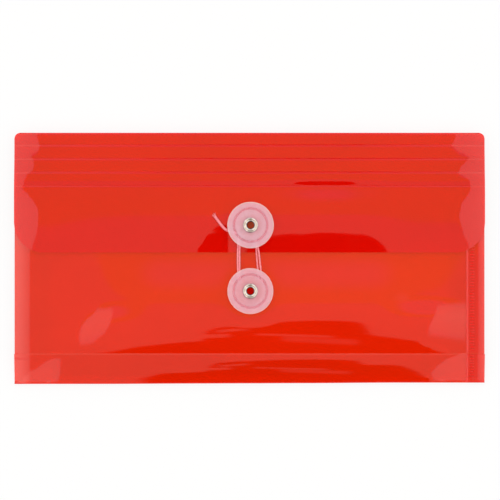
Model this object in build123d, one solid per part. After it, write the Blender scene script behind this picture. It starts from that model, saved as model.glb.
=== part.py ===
from build123d import *

import math
import os

# String tie envelope, closed and lying on its back: +X to the right, +Y towards the flap's fold, +Z up.
# Millimetres. The origin is the centre of its footprint, on the table.

# Film blank
FILM = 0.3                 # thickness of the film
BODY_WIDTH = 253.6         # back and front panels
ENVELOPE_HEIGHT = 135.4    # bottom edge to top fold
CREASE_GAP = 0.2           # a panel stops this short of the axis that it turns on
SHEET_GAP = 0.2            # air between two sheets that are folded on each other

# Flap
SCORE_PITCH = 7.3          # spacing of the score lines, and height of the spine at the first one
SCORE_FIRST = 6.8          # top fold to the first line on the flap
SCORE_COUNT = 4
SCORE_WIDTH = 0.6
SCORE_DEPTH = 0.12
FLAP_LENGTH = 64.5         # top fold to the flap's free edge
FLAP_CORNER = 16.0         # radius of the free corners
FOLD_CORNER = 3.0          # die-cut relief at the ends of the top fold
FLAP_OVERHANG = 0.2        # the flap stands this proud of the pocket at each side
FLAP_CLEARANCE = 1.3       # air between the flap and the front panel

# Pocket
MOUTH_SETBACK = 3.4        # top fold to the mouth of the front panel
NOTCH_WIDTH = 54.0         # thumb notch in the mouth
NOTCH_DEPTH = 6.0
GUSSET_LEAF = 18.5         # side leaf, from its crease to the pleat
BOTTOM_LEAF = 16.5         # bottom leaf, from its crease to the bottom fold

# Welds
SIDE_TAB_WIDTH = 9.2       # tab of the side seam
TAB_INSET = 0.2            # tab's outer edge from the panel's edge
TAB_MOUTH_DROP = 2.0       # tab's upper end below the mouth
TICK_LENGTH = 2.7          # weld ticks, across the seam
TICK_WIDTH = 0.7
TICK_RISE = 0.12
TICK_PITCH = 1.5
TICK_FROM_EDGE = 6.75      # middle of the row from the panel's edge
TICK_END_MARGIN = 1.5
BOTTOM_TAB_DEPTH = 11.0    # tab welded inside the bottom strip
BOTTOM_TAB_FROM_CREASE = 1.2
BOTTOM_TAB_END_INSET = 20.5

# Buttons, eyelets and washers
BUTTON_FROM_EDGE = 14.7    # upper button's centre from the flap's free edge
BUTTON_SPREAD = 35.8       # between the two buttons' centres
BUTTON_DIAMETER = 25.2
BUTTON_THICKNESS = 0.9
BUTTON_EDGE = 0.3          # rounding of the rim
RING_RADIUS = 8.9          # moulded ring on the face
RING_WIDTH = 1.2
RING_DEPTH = 0.25
DISH_DEPTH = 0.1           # the face inside the ring is this much lower
HUB_RADIUS = 2.6
HUB_HEIGHT = 3.1
BARREL_RADIUS = 2.0        # eyelet tube, outside
EYELET_WALL = 0.25
BARREL_CLEARANCE = 0.05
FLANGE_RADIUS = 3.9
FLANGE_HEIGHT = 0.55
CLINCH_RADIUS = 3.1
CLINCH_HEIGHT = 0.45
WASHER_RADIUS = 4.2
WASHER_THICKNESS = 0.3

# String
STRING_DIAMETER = 1.0
STRING_RISE_FLAP = 1.15    # string's middle above the flap, at the upper hub
STRING_RISE_FRONT = 1.85   # string's middle above the front, at the lower hub
STRING_OVER = 1.45         # how much higher the last pass lies where it crosses the others
STRING_TAIL_RISE = 0.6     # tail's middle above the flap
SELF_GAP_STEP = 0.4        # spacing of the points that the self gap is measured on
SELF_GAP_APART = 8.0       # points nearer than this along the string are neighbours

# Levels and angles that follow from the sizes above
HALF_FILM = FILM / 2
TOP_FOLD_Y = ENVELOPE_HEIGHT / 2
FLAP_UNDERSIDE = SCORE_PITCH
FLAP_TOP = FLAP_UNDERSIDE + FILM
FRONT_TOP = FLAP_UNDERSIDE - FLAP_CLEARANCE
FRONT_UNDERSIDE = FRONT_TOP - FILM
CREASE_Y = TOP_FOLD_Y - HALF_FILM
MOUTH_Y = TOP_FOLD_Y - MOUTH_SETBACK
FLAP_EDGE_Y = TOP_FOLD_Y - FLAP_LENGTH
FLAP_WIDTH = BODY_WIDTH + 2 * FLAP_OVERHANG
FOLD_WIDTH = FLAP_WIDTH - 2 * FOLD_CORNER
BODY_EDGE_X = BODY_WIDTH / 2
SIDE_AXIS_X = BODY_EDGE_X - HALF_FILM
SIDE_AXIS_LOW = FILM + SHEET_GAP + HALF_FILM
SIDE_AXIS_HIGH = FRONT_UNDERSIDE - SHEET_GAP - HALF_FILM
BOTTOM_AXIS_LOW = HALF_FILM
BOTTOM_AXIS_HIGH = FRONT_UNDERSIDE + HALF_FILM
UPPER_BUTTON_Y = FLAP_EDGE_Y + BUTTON_FROM_EDGE
LOWER_BUTTON_Y = UPPER_BUTTON_Y - BUTTON_SPREAD
STRING_MIDDLE_Y = (UPPER_BUTTON_Y + LOWER_BUTTON_Y) / 2
HOLE_RADIUS = BARREL_RADIUS + BARREL_CLEARANCE


def leaf_angle(low, high, leaf):
    """Slope of each of two equal leaves that fold between two heights, in radians."""
    return math.asin((high - low) / 2 / leaf)


def fold_relief(angle):
    """How far the second leaf of a fold stops short of it, so that it lies clear of the first."""
    stack = HALF_FILM + HALF_FILM * math.cos(2 * angle) + SHEET_GAP / 2
    return stack / math.sin(2 * angle)


SIDE_ANGLE = leaf_angle(SIDE_AXIS_LOW, SIDE_AXIS_HIGH, GUSSET_LEAF)
BOTTOM_ANGLE = leaf_angle(BOTTOM_AXIS_LOW, BOTTOM_AXIS_HIGH, BOTTOM_LEAF)
BOTTOM_CREASE_Y = BOTTOM_LEAF * math.cos(BOTTOM_ANGLE) + HALF_FILM - ENVELOPE_HEIGHT / 2


def sheet(sketch, underside):
    """A flat piece of film of the sketch's outline."""
    return extrude(Pos(0, 0, underside) * sketch, FILM)


def outline(width, low_y, high_y):
    """A rectangle of the given width, centred on X, between two Y values."""
    return Pos(0, (low_y + high_y) / 2) * Rectangle(width, high_y - low_y)


def rounded(sketch, high_radius, low_radius):
    """The sketch with its two upper and two lower corners rounded."""
    corners = sketch.vertices().sort_by(Axis.Y)
    if low_radius:
        sketch = fillet(corners[:2], low_radius)
        corners = sketch.vertices().sort_by(Axis.Y)
    return fillet(corners[-2:], high_radius)


def back_panel():
    """Plain back, between the bottom crease and the back crease."""
    blank = outline(BODY_WIDTH, BOTTOM_CREASE_Y + CREASE_GAP, CREASE_Y - CREASE_GAP)
    return sheet(rounded(blank, FOLD_CORNER, 0), 0)


def front_panel():
    """Front of the pocket, with the thumb notch and the hole for the eyelet."""
    blank = outline(BODY_WIDTH, BOTTOM_CREASE_Y + CREASE_GAP, MOUTH_Y)
    notch_radius = (NOTCH_WIDTH**2 / 4 + NOTCH_DEPTH**2) / (2 * NOTCH_DEPTH)
    notch = Pos(0, MOUTH_Y - NOTCH_DEPTH + notch_radius) * Circle(notch_radius)
    hole = Pos(0, LOWER_BUTTON_Y) * Circle(HOLE_RADIUS)
    return sheet(blank - notch - hole, FRONT_UNDERSIDE)


def slab(start, end, width, turns):
    """A strip of film along local X, with a half-round edge at each end that turns on a crease."""
    strip = Pos(start) * Box(end - start, width, FILM, align=(Align.MIN, Align.CENTER, Align.CENTER))
    for edge in turns:
        strip += Pos(edge) * Rot(90, 0, 0) * Cylinder(HALF_FILM, width)
    return strip


def leaf_plane(axis, inward, upper, angle):
    """Plane of a folded leaf: local X runs from crease to fold, local Z points out of the pocket."""
    rise = Vector(0, 0, 1 if upper else -1)
    along = inward * math.cos(angle) - rise * math.sin(angle)
    outward = inward * math.sin(angle) + rise * math.cos(angle)
    return Plane(origin=axis, x_dir=along, z_dir=outward)


def side_leaf(side, upper):
    """One leaf of a side pleat: side is -1 for left or 1 for right."""
    height = SIDE_AXIS_HIGH if upper else SIDE_AXIS_LOW
    axis = Vector(side * SIDE_AXIS_X, (MOUTH_Y + BOTTOM_CREASE_Y) / 2, height)
    width = MOUTH_Y - BOTTOM_CREASE_Y - 2 * CREASE_GAP
    if upper:
        strip = slab(0, GUSSET_LEAF - fold_relief(SIDE_ANGLE), width, [0])
    else:
        strip = slab(0, GUSSET_LEAF, width, [0, GUSSET_LEAF])
    return leaf_plane(axis, Vector(-side, 0, 0), upper, SIDE_ANGLE) * strip


def bottom_plane(upper):
    """Plane of one leaf of the bottom strip."""
    axis = Vector(0, BOTTOM_CREASE_Y, BOTTOM_AXIS_HIGH if upper else BOTTOM_AXIS_LOW)
    return leaf_plane(axis, Vector(0, -1, 0), upper, BOTTOM_ANGLE)


def bottom_leaf(upper):
    """One leaf of the bottom strip: the front one turns at the bottom fold, the back one at its crease."""
    if upper:
        strip = slab(CREASE_GAP, BOTTOM_LEAF, BODY_WIDTH, [BOTTOM_LEAF])
    else:
        strip = slab(0, BOTTOM_LEAF - fold_relief(BOTTOM_ANGLE), BODY_WIDTH, [0])
    return bottom_plane(upper) * strip


def bottom_weld_tab():
    """Tab welded to the inside of the bottom strip's front leaf."""
    width = BODY_WIDTH - 2 * BOTTOM_TAB_END_INSET
    strip = slab(BOTTOM_TAB_FROM_CREASE, BOTTOM_TAB_FROM_CREASE + BOTTOM_TAB_DEPTH, width, [])
    return bottom_plane(True) * Pos(0, 0, -FILM) * strip


def weld_strip(length):
    """A welded tab along local X, underside on local XY, with its row of raised weld ticks."""
    strip = Box(length, SIDE_TAB_WIDTH, FILM, align=(Align.MIN, Align.CENTER, Align.MIN))
    count = int((length - 2 * TICK_END_MARGIN) / TICK_PITCH)
    middle = SIDE_TAB_WIDTH / 2 + TAB_INSET - TICK_FROM_EDGE
    row = Pos(length / 2, middle) * GridLocations(TICK_PITCH, TICK_LENGTH, count, 1)
    ticks = Sketch() + [place * Rectangle(TICK_WIDTH, TICK_LENGTH) for place in row]
    return strip + extrude(Pos(0, 0, FILM) * ticks, TICK_RISE)


def side_tab_x():
    """Middle of the side tab."""
    return BODY_EDGE_X - TAB_INSET - SIDE_TAB_WIDTH / 2


def side_weld_tab():
    """The side seam's tab on the front panel."""
    top = MOUTH_Y - TAB_MOUTH_DROP
    length = top - BOTTOM_CREASE_Y - 2 * CREASE_GAP
    start = Vector(side_tab_x(), top, FRONT_TOP)
    return Plane(origin=start, x_dir=(0, -1, 0), z_dir=(0, 0, 1)) * weld_strip(length)


def side_weld_tab_foot():
    """The side seam's tab where it runs on over the bottom strip."""
    strip = weld_strip(BOTTOM_LEAF - 2 * CREASE_GAP - TAB_INSET)
    return bottom_plane(True) * Pos(2 * CREASE_GAP, side_tab_x(), HALF_FILM) * strip


def flap_spine():
    """Upright strip between the back crease and the top crease."""
    upright = Plane(origin=(0, CREASE_Y, HALF_FILM), x_dir=(0, 0, 1), z_dir=(0, 1, 0))
    return upright * slab(0, SCORE_PITCH - CREASE_GAP, FOLD_WIDTH, [0])


def flap_panel():
    """Flap with rounded corners, score lines pressed into its face and the hole for the eyelet."""
    blank = rounded(outline(FLAP_WIDTH, FLAP_EDGE_Y, CREASE_Y), FOLD_CORNER, FLAP_CORNER)
    hole = Pos(0, UPPER_BUTTON_Y) * Circle(HOLE_RADIUS)
    fold = Pos(0, CREASE_Y, FLAP_UNDERSIDE + HALF_FILM) * Rot(0, 90, 0) * Cylinder(HALF_FILM, FOLD_WIDTH)
    panel = sheet(blank - hole, FLAP_UNDERSIDE) + fold
    for line in range(SCORE_COUNT):
        line_y = TOP_FOLD_Y - SCORE_FIRST - line * SCORE_PITCH
        groove = Box(FLAP_WIDTH, SCORE_WIDTH, SCORE_DEPTH, align=(Align.CENTER, Align.CENTER, Align.MAX))
        panel -= Pos(0, line_y, FLAP_TOP) * groove
    return panel


def turned(profile):
    """A solid of revolution about Z from a closed profile drawn in X (radius) and Z."""
    return revolve(make_face(profile), Axis.Z)


def button(centre_y, seat):
    """Moulded disc with a ring on its face and the hub that stands on the film."""
    rim = BUTTON_DIAMETER / 2
    under = HUB_HEIGHT
    face = under + BUTTON_THICKNESS
    dish = face - DISH_DEPTH
    groove = face - RING_DEPTH
    half_ring = RING_WIDTH / 2
    profile = Polyline(
        (HOLE_RADIUS, 0, 0),
        (HUB_RADIUS, 0, 0),
        (HUB_RADIUS, 0, under),
        (rim - BUTTON_EDGE, 0, under),
        (rim, 0, under + BUTTON_EDGE),
        (rim, 0, face - BUTTON_EDGE),
        (rim - BUTTON_EDGE, 0, face),
        (RING_RADIUS + half_ring, 0, face),
        (RING_RADIUS + half_ring / 2, 0, groove),
        (RING_RADIUS - half_ring / 2, 0, groove),
        (RING_RADIUS - half_ring, 0, dish),
        (HOLE_RADIUS, 0, dish),
        close=True,
    )
    return Pos(0, centre_y, seat) * turned(profile)


def eyelet(centre_y, seat):
    """Rolled eyelet: flange on the disc's face, tube through disc and film, clinch under the washer."""
    bore = BARREL_RADIUS - EYELET_WALL
    face = HUB_HEIGHT + BUTTON_THICKNESS - DISH_DEPTH
    clinch = -FILM - WASHER_THICKNESS
    crest = (bore + FLANGE_RADIUS) / 2
    roll = (bore + CLINCH_RADIUS) / 2
    profile = [
        Line((BARREL_RADIUS, 0, clinch), (BARREL_RADIUS, 0, face)),
        Line((BARREL_RADIUS, 0, face), (FLANGE_RADIUS, 0, face)),
        ThreePointArc((FLANGE_RADIUS, 0, face), (crest, 0, face + FLANGE_HEIGHT), (bore, 0, face)),
        Line((bore, 0, face), (bore, 0, clinch)),
        ThreePointArc((bore, 0, clinch), (roll, 0, clinch - CLINCH_HEIGHT), (CLINCH_RADIUS, 0, clinch)),
        Line((CLINCH_RADIUS, 0, clinch), (BARREL_RADIUS, 0, clinch)),
    ]
    return Pos(0, centre_y, seat) * turned(profile)


def washer(centre_y, seat):
    """Backing washer under the film."""
    ring = Circle(WASHER_RADIUS) - Circle(HOLE_RADIUS)
    return Pos(0, centre_y, seat - FILM - WASHER_THICKNESS) * extrude(ring, WASHER_THICKNESS)


def string_level(y):
    """Height of the winding: a plane that tilts from the front's hub up to the flap's hub."""
    low = FRONT_TOP + STRING_RISE_FRONT
    high = FLAP_TOP + STRING_RISE_FLAP
    share = (y - LOWER_BUTTON_Y) / BUTTON_SPREAD
    return low + (high - low) * share


def string_route():
    """Points of the string and the radius at each corner: two turns round both hubs, then the tail.

    The points are counted from the middle between the two buttons.
    """
    over = string_level(UPPER_BUTTON_Y) + STRING_OVER
    tail = FLAP_TOP + STRING_TAIL_RISE
    winding = [
        (-1.74, 15.83),
        (-5.45, 11.40),
        (-5.45, -23.30),
        (5.90, -23.30),
        (3.00, 7.50),
        (3.30, 23.10),
        (-6.60, 23.10),
        (-6.60, -24.90),
        (8.00, -24.90),
        (5.60, -4.00),
    ]
    winding_radii = [7.0, 5.4, 5.2, 40.0, 5.0, 5.0, 6.9, 6.8, 30.0]
    last_pass = [
        (4.40, 7.20, over - 0.10),
        (0.60, 12.40, over),
        (-8.10, 13.60, over),
        (-12.00, 14.90, over - 0.90),
        (-14.70, 16.70, tail),
        (-19.40, 23.40, tail),
    ]
    last_radii = [8.0, 6.5, 9.0, 6.0, 6.0]
    points = [(x, y, string_level(y + STRING_MIDDLE_Y)) for x, y in winding] + last_pass
    return [Vector(*point) + Vector(0, STRING_MIDDLE_Y) for point in points], winding_radii + last_radii


def self_gap(path):
    """Least gap between two stretches of the string."""
    count = int(path.length / SELF_GAP_STEP)
    skip = int(SELF_GAP_APART / SELF_GAP_STEP)
    spots = [path @ (step / count) for step in range(count + 1)]
    least = min(
        (spots[second] - spots[first]).length
        for first in range(count + 1 - skip)
        for second in range(first + skip, count + 1)
    )
    return least - STRING_DIAMETER


def tie_string():
    """The string as one unbroken tube."""
    points, radii = string_route()
    path = FilletPolyline(*points, radius=radii)
    section = Plane(origin=path @ 0, z_dir=path % 0) * Circle(STRING_DIAMETER / 2)
    tube = sweep(section, path)
    expected = math.pi * STRING_DIAMETER**2 / 4 * path.length
    print("string: length", round(path.length, 1), "volume share", round(tube.volume / expected, 4))
    print("string: radii", radii, "least gap to itself", round(self_gap(path), 3))
    return tube


def pieces():
    """Every piece by name."""
    return {
        "back_panel": back_panel(),
        "front_panel": front_panel(),
        "left_gusset_back_leaf": side_leaf(-1, False),
        "left_gusset_front_leaf": side_leaf(-1, True),
        "right_gusset_back_leaf": side_leaf(1, False),
        "right_gusset_front_leaf": side_leaf(1, True),
        "bottom_gusset_back_leaf": bottom_leaf(False),
        "bottom_gusset_front_leaf": bottom_leaf(True),
        "bottom_weld_tab": bottom_weld_tab(),
        "side_weld_tab": side_weld_tab(),
        "side_weld_tab_foot": side_weld_tab_foot(),
        "flap_spine": flap_spine(),
        "flap_panel": flap_panel(),
        "flap_button": button(UPPER_BUTTON_Y, FLAP_TOP),
        "flap_eyelet": eyelet(UPPER_BUTTON_Y, FLAP_TOP),
        "flap_eyelet_washer": washer(UPPER_BUTTON_Y, FLAP_TOP),
        "body_button": button(LOWER_BUTTON_Y, FRONT_TOP),
        "body_eyelet": eyelet(LOWER_BUTTON_Y, FRONT_TOP),
        "body_eyelet_washer": washer(LOWER_BUTTON_Y, FRONT_TOP),
        "tie_string": tie_string(),
    }


os.makedirs("parts", exist_ok=True)
for name, solid in pieces().items():
    export_step(solid, f"parts/{name}.step")
print("side leaf angle", round(math.degrees(SIDE_ANGLE), 3), "bottom leaf angle",
      round(math.degrees(BOTTOM_ANGLE), 3), "bottom crease", round(BOTTOM_CREASE_Y, 3))
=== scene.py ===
"""String tie envelope: translucent red film, frosted discs, nickel eyelets and a twisted string.

Everything is in metres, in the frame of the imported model: +X to the right, +Y towards the flap's fold and +Z
up out of the front.
"""

import logging
import math
import random
from collections.abc import Callable, Sequence
from dataclasses import dataclass
from enum import Enum

import bmesh
import bpy
from bmesh.types import BMesh, BMFace
from bpy.types import Material, Mesh, Node, NodeSocket, NodeTree, Object
from mathutils import Matrix, Vector


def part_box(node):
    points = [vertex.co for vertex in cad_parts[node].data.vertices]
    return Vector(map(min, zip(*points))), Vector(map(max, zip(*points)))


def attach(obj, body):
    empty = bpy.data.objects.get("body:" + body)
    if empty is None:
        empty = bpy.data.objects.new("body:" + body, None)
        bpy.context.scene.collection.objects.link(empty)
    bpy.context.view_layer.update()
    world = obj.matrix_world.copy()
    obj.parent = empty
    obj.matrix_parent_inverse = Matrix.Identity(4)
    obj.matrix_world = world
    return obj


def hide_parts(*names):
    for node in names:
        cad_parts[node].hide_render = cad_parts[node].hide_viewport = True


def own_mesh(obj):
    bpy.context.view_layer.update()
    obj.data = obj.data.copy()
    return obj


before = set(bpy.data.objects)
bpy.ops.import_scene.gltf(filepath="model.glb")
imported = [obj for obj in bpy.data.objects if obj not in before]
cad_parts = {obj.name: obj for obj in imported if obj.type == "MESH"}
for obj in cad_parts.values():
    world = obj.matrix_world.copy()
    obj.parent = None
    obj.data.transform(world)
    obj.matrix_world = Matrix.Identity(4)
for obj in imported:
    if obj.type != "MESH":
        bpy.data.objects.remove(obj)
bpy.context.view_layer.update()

LOG = logging.getLogger("envelope")
MM = 0.001
FILM = 0.3 * MM
HALF_FILM = FILM / 2
SAME_PLACE = 0.01 * MM
FLAT = Matrix.Identity(4)
UP = Vector((0, 0, 1))

# A Band is a low end, a high end, and the softness of the ends or the step between them.
Pair = tuple[float, float]
Band = tuple[float, float, float]
Colour = tuple[float, float, float]
Knots = Sequence[Pair]
Line = Sequence[Vector]
Hole = tuple[Vector, float]
Axes = tuple[Vector, Vector, Vector]
Curve = Callable[[float], float]
Relief = Callable[[float, float], float]

WHITE: Colour = (1.0, 1.0, 1.0)


class Slot(Enum):
    """Material slots."""

    FILM = "film"
    BUTTON = "button"
    EYELET = "eyelet"
    STRING = "string"


class Body(Enum):
    """Bodies that the scene's own pieces ride on."""

    FLAP = "flap"
    FRONT = "front"
    BOTTOM_FRONT = "bottom_front_leaf"
    BOTTOM_BACK = "bottom_back_leaf"


def span(start: float, end: float, step: float) -> list[float]:
    """Evenly spaced values from start to end, both included, about a step apart."""
    count = max(1, round((end - start) / step))
    return [start + (end - start) * index / count for index in range(count + 1)]


def merged(*lists: Sequence[float]) -> list[float]:
    """Joins lists of places, less those that count as the same place as the one before.

    Args:
        lists: Places in any order.

    Returns:
        One rising list.
    """
    kept: list[float] = []
    for value in sorted(value for values in lists for value in values):
        if not kept or value - kept[-1] > SAME_PLACE:
            kept.append(value)
    return kept


def clamped(value: float, low: float = 0.0, high: float = 1.0) -> float:
    """The value, or the end that it is past."""
    return min(high, max(low, value))


def ease(value: float, start: float, end: float) -> float:
    """Smooth step from 0 at start to 1 at end, which may be the smaller of the two."""
    share = clamped((value - start) / (end - start))
    return share * share * (3 - 2 * share)


def bell(distance: float, width: float) -> float:
    """Bell curve of height 1 that falls to about a third at one width."""
    return math.exp(-((distance / width) ** 2))


def bend(past: float, run: float, slope: float) -> float:
    """Height lost past the start of a bend, whose slope grows evenly to the given one over the run."""
    return slope * max(0.0, past) ** 2 / (2 * run)


def in_mm(*pairs: Pair, unit: float = MM) -> Knots:
    """Knots with their places in millimetres, and their values too unless another unit is given."""
    return tuple((place * MM, value * unit) for place, value in pairs)


def through(knots: Knots, place: float) -> float:
    """Smooth value between given knots.

    Args:
        knots: Pairs of place and value, in rising order of place.
        place: Where the value is wanted.

    Returns:
        The value, level beyond the first and last knots.
    """
    if place <= knots[0][0]:
        return knots[0][1]
    for (start, first), (end, last) in zip(knots, knots[1:]):
        if place <= end:
            return first + (last - first) * ease(place, start, end)
    return knots[-1][1]


class NodeBoard:
    """Places nodes in one node tree and joins them."""

    def __init__(self, tree: NodeTree) -> None:
        """Empties the tree and keeps it."""
        self.tree = tree
        tree.nodes.clear()

    def join(self, value: object, socket: NodeSocket) -> None:
        """Links a socket, or sets a number, a vector or an opaque colour.

        Args:
            value: Output socket or plain value.
            socket: Input that gets it.
        """
        if isinstance(value, NodeSocket):
            self.tree.links.new(value, socket)
        else:
            socket.default_value = (*value, 1.0) if socket.type == "RGBA" else value

    def add(self, kind: str, *values: object, **settings: object) -> Node:
        """Adds a node.

        Args:
            kind: Node type, without the ShaderNode prefix.
            values: What its first inputs get, in order.
            settings: Node properties, then inputs, whose names have a capital and underscores for spaces.

        Returns:
            The new node.
        """
        node = self.tree.nodes.new("ShaderNode" + kind)
        for name, value in settings.items():
            if name[0].isupper():
                self.join(value, node.inputs[name.replace("_", " ")])
            else:
                setattr(node, name, value)
        for value, socket in zip(values, node.inputs):
            self.join(value, socket)
        return node

    def math(self, operation: str, *values: object) -> NodeSocket:
        """A Math node's result, from up to three sockets or numbers."""
        return self.add("Math", *values, operation=operation).outputs[0]

    def product(self, first: object, *others: object) -> object:
        """All the values multiplied.

        Args:
            first: Socket or number.
            others: More of them.

        Returns:
            The product's socket.
        """
        for value in others:
            first = self.math("MULTIPLY", first, value)
        return first

    def ramp(self, value: object, places: Pair, results: Pair = (0.0, 1.0)) -> NodeSocket:
        """Smoothly maps one stretch of values to another.

        Args:
            value: Socket that is mapped.
            places: Values that give the two results.
            results: Results at those values and beyond them.

        Returns:
            The mapped value.
        """
        node = self.add(
            "MapRange", interpolation_type="SMOOTHSTEP", Value=value,
            From_Min=places[0], From_Max=places[1], To_Min=results[0], To_Max=results[1])
        return node.outputs["Result"]

    def window(self, value: object, band: Band) -> NodeSocket:
        """A mask that is 1 inside a band.

        Args:
            value: Socket that is tested.
            band: Low end, high end and half width of each end's ramp.

        Returns:
            The mask.
        """
        low, high, soft = band
        rise = self.ramp(value, (low - soft, low + soft))
        return self.product(rise, self.ramp(value, (high - soft, high + soft), (1.0, 0.0)))

    def blend(self, mask: object, first: object, second: object) -> NodeSocket:
        """The first colour where the mask is 0, the second where it is 1."""
        return self.add("Mix", data_type="RGBA", Factor=mask, A=first, B=second).outputs["Result"]

    def mixed(self, share: object, first: Node, second: Node) -> NodeSocket:
        """Mix of two shader nodes, by the second one's share."""
        return self.add("MixShader", share, first.outputs[0], second.outputs[0]).outputs[0]


@dataclass(frozen=True)
class MottleGroup:
    """Node group for the slight unevenness of a moulded, drawn or plated surface."""

    name: str = "surface_mottle"
    inputs: tuple[str, ...] = ("Scale", "Stretch", "Low", "High")
    outputs: tuple[str, ...] = ("Roughness", "Shade", "Height")
    detail: float = 3.0
    contrast: Pair = (0.3, 0.7)
    fine_scale: float = 9.0
    fine_detail: float = 2.0
    fine_share: float = 0.3

    def tree(self) -> NodeTree:
        """The group, built once.

        Returns:
            The node tree with its named inputs and outputs.
        """
        known = bpy.data.node_groups.get(self.name)
        if known:
            return known
        tree = bpy.data.node_groups.new(self.name, "ShaderNodeTree")
        for way, names in (("INPUT", self.inputs), ("OUTPUT", self.outputs)):
            for name in names:
                tree.interface.new_socket(name, in_out=way, socket_type="NodeSocketFloat")
        board = NodeBoard(tree)
        given = tree.nodes.new("NodeGroupInput").outputs
        results = tree.nodes.new("NodeGroupOutput").inputs
        squeeze = board.add("CombineXYZ", given["Stretch"], 1.0, 1.0).outputs[0]
        place = board.add("TexCoord").outputs["Object"]
        drawn = board.add("VectorMath", place, squeeze, operation="MULTIPLY").outputs[0]
        coarse = board.add("TexNoise", Vector=drawn, Scale=given["Scale"], Detail=self.detail).outputs["Fac"]
        finer = board.product(given["Scale"], self.fine_scale)
        fine = board.add("TexNoise", Vector=drawn, Scale=finer, Detail=self.fine_detail).outputs["Fac"]
        shade = board.ramp(coarse, self.contrast)
        spread = board.math("SUBTRACT", given["High"], given["Low"])
        board.join(board.math("MULTIPLY_ADD", shade, spread, given["Low"]), results["Roughness"])
        board.join(shade, results["Shade"])
        board.join(board.math("MULTIPLY_ADD", fine, self.fine_share, coarse), results["Height"])
        return tree


MOTTLE = MottleGroup()


def blank_material(name: str) -> tuple[Material, NodeBoard]:
    """A material without nodes, and the board for them.

    Args:
        name: Material name.

    Returns:
        The material and its board.
    """
    material = bpy.data.materials.new(name)
    material.use_nodes = True
    return material, NodeBoard(material.node_tree)


@dataclass(frozen=True)
class Finish:
    """A finish whose shade, roughness and fine relief are a little uneven.

    Attributes:
        name: Material name.
        pale: Colour where the mottle is light.
        deep: Colour where it is dark.
        grain: Scale of the mottle.
        rough: Least and most roughness.
        bump: Strength of the fine relief.
        bump_depth: Its depth.
        stretch: Factor on the mottle along X, under 1 for streaks.
    """

    name: str
    pale: Colour
    deep: Colour
    grain: float
    rough: Pair
    bump: float
    bump_depth: float = 0.1 * MM
    stretch: float = 1.0

    def colour(self, board: NodeBoard, shade: NodeSocket) -> NodeSocket:
        """Colour over the surface, by its mottle."""
        return board.blend(shade, self.deep, self.pale)

    def sockets(self) -> dict[str, float]:
        """Values of the shader that are the same all over."""
        return {}

    def surface(self, board: NodeBoard, body: Node) -> NodeSocket:
        """What the material shows of its shader."""
        return body.outputs[0]

    def build(self) -> Material:
        """Makes the material.

        Returns:
            The finished material.
        """
        material, board = blank_material(self.name)
        group = board.add(
            "Group", node_tree=MOTTLE.tree(), Scale=self.grain, Stretch=self.stretch,
            Low=self.rough[0], High=self.rough[1])
        mottle = group.outputs
        bump = board.add("Bump", Strength=self.bump, Distance=self.bump_depth, Height=mottle["Height"])
        body = board.add(
            "BsdfPrincipled", Base_Color=self.colour(board, mottle["Shade"]), Roughness=mottle["Roughness"],
            Normal=bump.outputs[0], **self.sockets())
        board.add("OutputMaterial", Surface=self.surface(board, body))
        return material


@dataclass(frozen=True)
class FilmFinish(Finish):
    """Glossy coloured film that lets part of the light through."""

    name: str = "red_film"
    pale: Colour = (0.98, 0.031, 0.0014)
    deep: Colour = (0.95, 0.027, 0.0011)
    grain: float = 45.0
    rough: Pair = (0.30, 0.36)
    bump: float = 0.006
    bump_depth: float = 0.2 * MM
    stretch: float = 0.35
    tint: Colour = (0.97, 0.030, 0.004)
    opacity: float = 0.50
    coat: float = 1.0
    coat_ior: float = 1.95
    coat_roughness: float = 0.025

    def sockets(self) -> dict[str, float]:
        """The gloss, which is all in the coat."""
        coat = {"Coat_Weight": self.coat, "Coat_IOR": self.coat_ior, "Coat_Roughness": self.coat_roughness}
        return {"Specular_IOR_Level": 0.0, **coat}

    def surface(self, board: NodeBoard, body: Node) -> NodeSocket:
        """The film, with light let through in its tint."""
        return board.mixed(self.opacity, board.add("BsdfTransparent", self.tint), body)


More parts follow.
